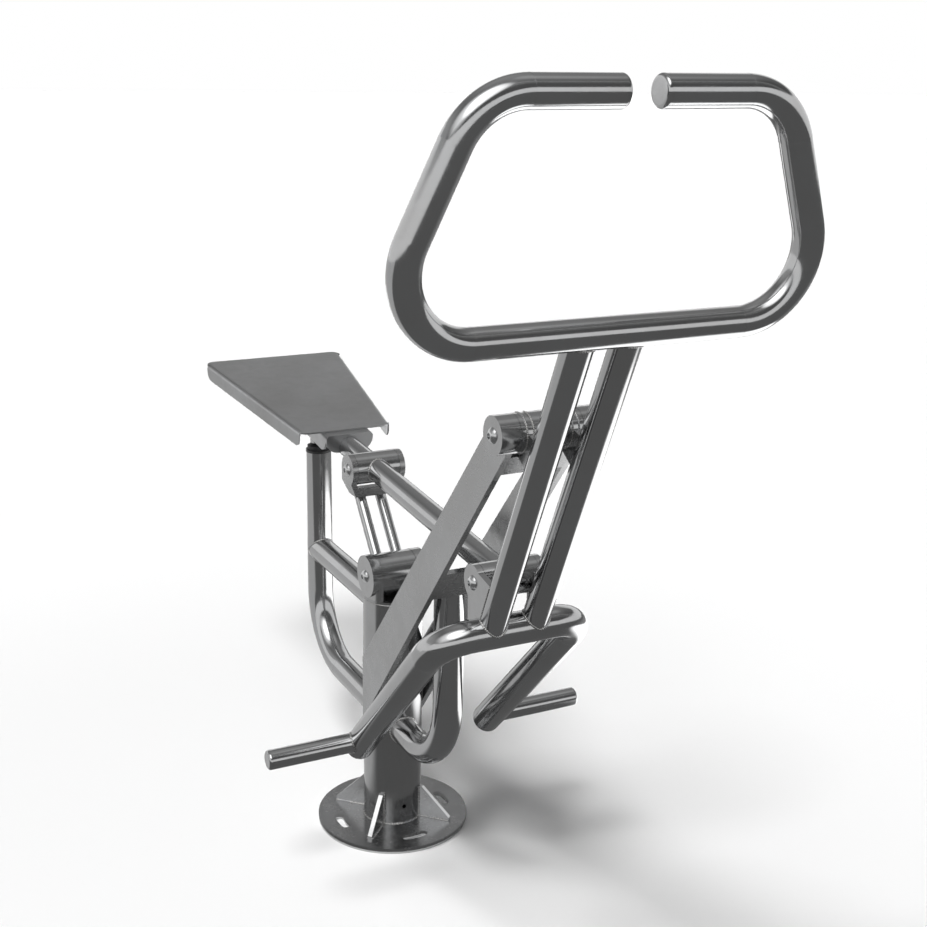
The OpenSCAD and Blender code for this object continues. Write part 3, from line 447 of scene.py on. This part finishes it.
# Each gusset has a bead along its foot and one up the post, on both of its faces
for quarter in range(4):
    spin = Matrix.Rotation(math.radians(45 + 90 * quarter), 3, "Z")
    for face in (-0.0043, 0.0043):
        for start, end in (((POST_R + 0.001, face, 0.0104), (0.1135, face, 0.0104)),
                           ((POST_R + 0.0003, face, 0.0115), (POST_R + 0.0003, face, 0.0705))):
            frame_runs.append(([spin @ p for p in line(start, end)], 0.0017, False))
for side in (-1, 1):
    frame_runs += [
        (ring(at(PIV_C, side * 0.0603), X, HUB_R + 0.0003, -44, 53,
              (0, 0.65, -0.76)), 0.0016, False),
        (line((side * 0.0548, 0.0006, 0.2105), (side * 0.0548, 0.0006, 0.3355)), 0.0018, False),
        (line((side * 0.0500, -0.0208, 0.239), (side * 0.0500, -0.0208, 0.356)), 0.0016, False),
        (line((side * 0.0497, -0.200, 0.5467), (side * 0.0497, -0.250, 0.5467)), 0.0014, False),
    ]
beads("weld_frame", "frame", frame_runs)

beads("weld_rocker", "rocker", [
    run for side in (-1, 1) for run in (
        (saddle(at(ROD_FOOT, side * 0.02) + ROD_U * 0.1, -ROD_U, ROD_R, at(PIV_A), X, HUB_A_R),
         0.0010, True),
        (flat_cut(at(ROD_FOOT, side * 0.02), ROD_U, ROD_R, YOKE_FOOT_Z), 0.0010, True),
    )
])

beads("weld_seat", "seat_assembly", [
    (saddle(at(PIV_D) - TUBE_U * 0.2, TUBE_U, TUBE_R, at(PIV_D), X, HUB_R), 0.0018, True),
    (saddle(at(PIV_D) + TUBE_U * 0.2, -TUBE_U, TUBE_R, at(PIV_D), X, HUB_R), 0.0018, True),
    (saddle(at(PIV_B) + TUBE_U * 0.2, -TUBE_U, TUBE_R, at(PIV_B), X, HUB_R), 0.0018, True),
])

lever_runs = []
for side in (-1, 1):
    head = at(UPRIGHT_HEAD, side * UPRIGHT_X)
    peg = at(FOOTREST_BAR, side * 0.124) + ARM_U * 0.421
    beside = Vector((side * 0.0197, 0.0083 * 0.91, 0.0083 * 0.41))
    ear = [at(UPRIGHT_FOOT, side * UPRIGHT_X) + UPRIGHT_U * t + beside
           for t in (0.012 + BEAD_STEP * i for i in range(100))]
    lever_runs += [
        (saddle(head - UPRIGHT_U * 0.2, UPRIGHT_U, TUBE_R, at(LOOP_BAR), X, TUBE_R),
         0.0018, True),
        (saddle(head - UPRIGHT_U * 0.3, -UPRIGHT_U, TUBE_R, at(FOOTREST_BAR), X, FRAME_R),
         0.0018, True),
        (saddle(peg + X * side * 0.08, -X * side, PEG_R, peg, ARM_U, FRAME_R), 0.0016, True),
        (ear, 0.0014, False),
        (ring(at(PIV_C, side * 0.0412), X, HUB_R + 0.0003, -108, 118, (0, -1, 0)), 0.0013, False),
        (ring(at(PIV_C, side * 0.0308), X, HUB_R + 0.0003, -100, 110, (0, -1, 0)), 0.0013, False),
    ]
beads("weld_lever", "handle_lever", lever_runs)


# Stage: pale floor, white backdrop and wall, a card for the low reflections, world and lamps

DARK = 0.155
FLOOR_GLOW = 0.02
STAGE_LOW = -1.5
WALL_RADIUS = 55
WALL_HIGH = 22
WALL_SIDES = 36


def aim_of(azimuth, height):
    """Unit direction; azimuth 0 is +Y and 90 is +X, height is above the horizon, in degrees."""
    a, h = math.radians(azimuth), math.radians(height)
    return (math.sin(a) * math.cos(h), math.cos(a) * math.cos(h), math.sin(h))


class Light:
    """Sums smooth patches of brightness in a node tree."""

    def __init__(self, tree, level):
        self.tree = tree
        self.total = self.math("ADD", level, 0.0)

    def math(self, op, a, b):
        node = self.tree.nodes.new("ShaderNodeMath")
        node.operation = op
        for i, value in enumerate((a, b)):
            if isinstance(value, bpy.types.NodeSocket):
                self.tree.links.new(value, node.inputs[i])
            else:
                node.inputs[i].default_value = value
        return node.outputs[0]

    def step(self, value, low, high):
        """0 at low and 1 at high, smooth between; low may be above high."""
        node = self.tree.nodes.new("ShaderNodeMapRange")
        node.interpolation_type = "SMOOTHSTEP"
        self.tree.links.new(value, node.inputs["Value"])
        node.inputs["From Min"].default_value = min(low, high)
        node.inputs["From Max"].default_value = max(low, high)
        node.inputs["To Min"].default_value = 0.0 if low < high else 1.0
        node.inputs["To Max"].default_value = 1.0 if low < high else 0.0
        return node.outputs[0]

    def dot(self, vector, direction):
        node = self.tree.nodes.new("ShaderNodeVectorMath")
        node.operation = "DOT_PRODUCT"
        self.tree.links.new(vector, node.inputs[0])
        node.inputs[1].default_value = direction
        return node.outputs["Value"]

    def add(self, patch, strength):
        self.total = self.math("ADD", self.total, self.math("MULTIPLY", patch, strength))

    def lobe(self, vector, azimuth, height, inner, outer):
        """Patch about a direction, full inside the inner angle and gone outside the outer one."""
        near = self.dot(vector, aim_of(azimuth, height))
        return self.step(near, math.cos(math.radians(outer)), math.cos(math.radians(inner)))


def sheet(name, faces, mat):
    """One stage object of flat faces, each given by its corners."""
    bm = bmesh.new()
    for corners in faces:
        bm.faces.new([bm.verts.new(c) for c in corners])
    mesh = bpy.data.meshes.new(name)
    bm.to_mesh(mesh)
    bm.free()
    obj = bpy.data.objects.new(name, mesh)
    scene.collection.objects.link(obj)
    mesh.materials.append(mat)
    return obj


def level(half, z):
    return [(-half, -half, z), (half, -half, z), (half, half, z), (-half, half, z)]


def wall_face(start, end, top):
    """Corners of an upright face over the line from start to end, each (x, y)."""
    (x0, y0), (x1, y1) = start, end
    return [(x0, y0, STAGE_LOW), (x1, y1, STAGE_LOW), (x1, y1, top), (x0, y0, top)]


def floor_look():
    """Pale floor; its faint glow is for the camera and for reflections, and lights nothing."""
    n = Nodes("floor_pale")
    n.bsdf.inputs["Base Color"].default_value = (0.9, 0.9, 0.9, 1)
    n.bsdf.inputs["Roughness"].default_value = 0.16
    n.bsdf.inputs["Emission Color"].default_value = (1, 1, 1, 1)
    path = n.add("ShaderNodeLightPath")
    seen = n.math("ADD", path.outputs["Is Camera Ray"], path.outputs["Is Glossy Ray"], True)
    seen = n.math("ADD", seen, path.outputs["Is Transmission Ray"], True)
    # Away from the machine the floor turns matt, so that it stays as pale from every side
    far = n.add("ShaderNodeVectorMath", operation="LENGTH")
    n.link(n.coords(), far.inputs[0])
    n.link(n.spread(far.outputs["Value"], 0.16, 0.0, 0.8, 2.2),
           n.bsdf.inputs["Specular IOR Level"])
    rise = n.spread(far.outputs["Value"], FLOOR_GLOW, FLOOR_GLOW + 0.045, 0.4, 1.6)
    n.link(n.math("MULTIPLY", seen, rise), n.bsdf.inputs["Emission Strength"])
    return n.mat


def glow_look(name):
    """A material that only glows, as its Nodes and its emission node."""
    n = Nodes(name)
    n.tree.nodes.remove(n.bsdf)
    glow = n.add("ShaderNodeEmission")
    glow.inputs["Strength"].default_value = 1.0
    n.link(glow.outputs[0], n.out.inputs[0])
    return n, glow


def card_look():
    """Painted reflections for the steel, in place of the floor: the card glows dark towards the
    camera, grey at the left and behind it, and white beside the machine at the right as a painted
    pool of light."""
    n, glow = glow_look("card_low")
    split = n.add("ShaderNodeSeparateXYZ")
    n.link(n.coords(), split.inputs[0])
    x, y = split.outputs[0], split.outputs[1]
    # The glow is painted shade and painted light for reflections: DARK as the base, then a grey
    # patch at the left and behind
    light = Light(n.tree, DARK)
    slant = light.math("SUBTRACT", x, light.math("MULTIPLY", y, 0.2))
    grey_side = light.math("MULTIPLY", light.step(slant, 0.35, -0.15), light.step(y, -0.05, 0.12))
    light.add(grey_side, 0.47)

    def spot(cx, cy, rx, ry, soft, strength):
        """Oval patch of the card about (cx, cy)."""
        dx = light.math("DIVIDE", light.math("SUBTRACT", x, cx), rx)
        dy = light.math("DIVIDE", light.math("SUBTRACT", y, cy), ry)
        far = light.math("ADD", light.math("MULTIPLY", dx, dx), light.math("MULTIPLY", dy, dy))
        light.add(light.step(far, 1 + soft, 1 - soft), strength)

    # Painted pools of light in the reflections: white beside the machine at the right, paler behind
    # it, faint further right
    spot(1.08, 0.0, 0.62, 0.95, 0.25, 2.3)
    spot(-0.05, 3.4, 0.75, 1.7, 0.6, 0.8)
    spot(2.6, 1.6, 1.6, 2.4, 0.8, 0.18)
    n.link(light.total, glow.inputs["Strength"])
    clear = n.add("ShaderNodeBsdfTransparent")
    back = n.add("ShaderNodeNewGeometry")
    side = n.add("ShaderNodeMixShader")
    n.link(back.outputs["Backfacing"], side.inputs[0])
    n.link(glow.outputs[0], side.inputs[1])
    n.link(clear.outputs[0], side.inputs[2])
    n.link(side.outputs[0], n.out.inputs[0])
    return n.mat


sheet("floor", [level(60.0, 0)], floor_look())
white_mat = glow_look("backdrop_white")[0].mat
sheet("backdrop", [wall_face((-30, 50), (64, 32), 9)], white_mat)

# White wall all round, which the camera, metal and glass see; it lights nothing
turns = [math.radians(360 / WALL_SIDES * k) for k in range(WALL_SIDES)]
places = [(WALL_RADIUS * math.cos(a), WALL_RADIUS * math.sin(a)) for a in turns]
wall = sheet("backdrop_round", [wall_face(start, end, WALL_HIGH)
                                for start, end in zip(places, places[1:] + places[:1])], white_mat)
wall.visible_diffuse = False
wall.visible_shadow = False

# Only reflections see the card, in place of the floor
card = sheet("card_low", [level(40, 0.004)], card_look())
card.visible_camera = False
card.visible_shadow = False
card.visible_diffuse = False

world = bpy.data.worlds.new("studio")
scene.world = world
world.use_nodes = True
tree = world.node_tree
tree.nodes.clear()
w_out = tree.nodes.new("ShaderNodeOutputWorld")
w_back = tree.nodes.new("ShaderNodeBackground")
w_where = tree.nodes.new("ShaderNodeTexCoord")
w_split = tree.nodes.new("ShaderNodeSeparateXYZ")
ray = w_where.outputs["Generated"]
tree.links.new(ray, w_split.inputs[0])
sky = Light(tree, DARK)
sky.add(sky.lobe(ray, -145, 60, 17, 29), 2.2)
sky.add(sky.lobe(ray, -116, 52, 5, 36), 1.5)
sky.add(sky.lobe(ray, -52, 3, 26, 50), 0.42)
sky.add(sky.lobe(ray, 8, 22, 15, 55), 0.12)
sky.add(sky.lobe(ray, 48, 22, 4, 13), 0.8)
sky.add(sky.lobe(ray, 84, 66, 3, 16), 0.22)
sky.add(sky.lobe(ray, 40, 50, 10, 45), 0.12)
# Two thin lamps along X, which draw the fine light lines along the cross tubes
for tilt, strength in ((62, 0.38), (53, 0.2)):
    a = math.radians(tilt)
    off = sky.math("ABSOLUTE", sky.dot(ray, (0, math.sin(a), math.cos(a))), 0.0)
    sky.add(sky.step(off, 0.03, 0.012), strength)
low_band = sky.step(w_split.outputs[2], 0.24, 0.08)
sky.add(sky.math("MULTIPLY", low_band, sky.lobe(ray, 8, 2, 10, 34)), 1.1)
sky.add(sky.step(w_split.outputs[2], 0.6, 0.95), 0.2)
w_path = tree.nodes.new("ShaderNodeLightPath")
# Matt surfaces get little light from the world, so that the suns make the shadow
matt = sky.math("SUBTRACT", 1.0, sky.math("MULTIPLY", w_path.outputs["Is Diffuse Ray"], 0.96))
tree.links.new(sky.math("MULTIPLY", sky.total, matt), w_back.inputs["Strength"])
tree.links.new(w_back.outputs[0], w_out.inputs["Surface"])


def sun(name, place, energy, angle):
    """Soft sun that shines from place to the origin and that metal doesn't show."""
    data = bpy.data.lights.new(name, "SUN")
    data.energy = energy
    data.angle = angle
    obj = bpy.data.objects.new(name, data)
    scene.collection.objects.link(obj)
    facing = (-Vector(place)).to_track_quat("-Z", "Y")
    obj.matrix_world = Matrix.Translation(place) @ facing.to_matrix().to_4x4()
    obj.visible_glossy = False


sun("sun_front", (-1.2, -1.45, 3.0), 1.55, 0.26)
sun("sun_rear", (-1.45, 0.45, 3.0), 1.4, 0.32)
sun("sun_left", (-1.7, -0.1, 3.0), 0.72, 0.9)

scene.view_settings.view_transform = "Standard"
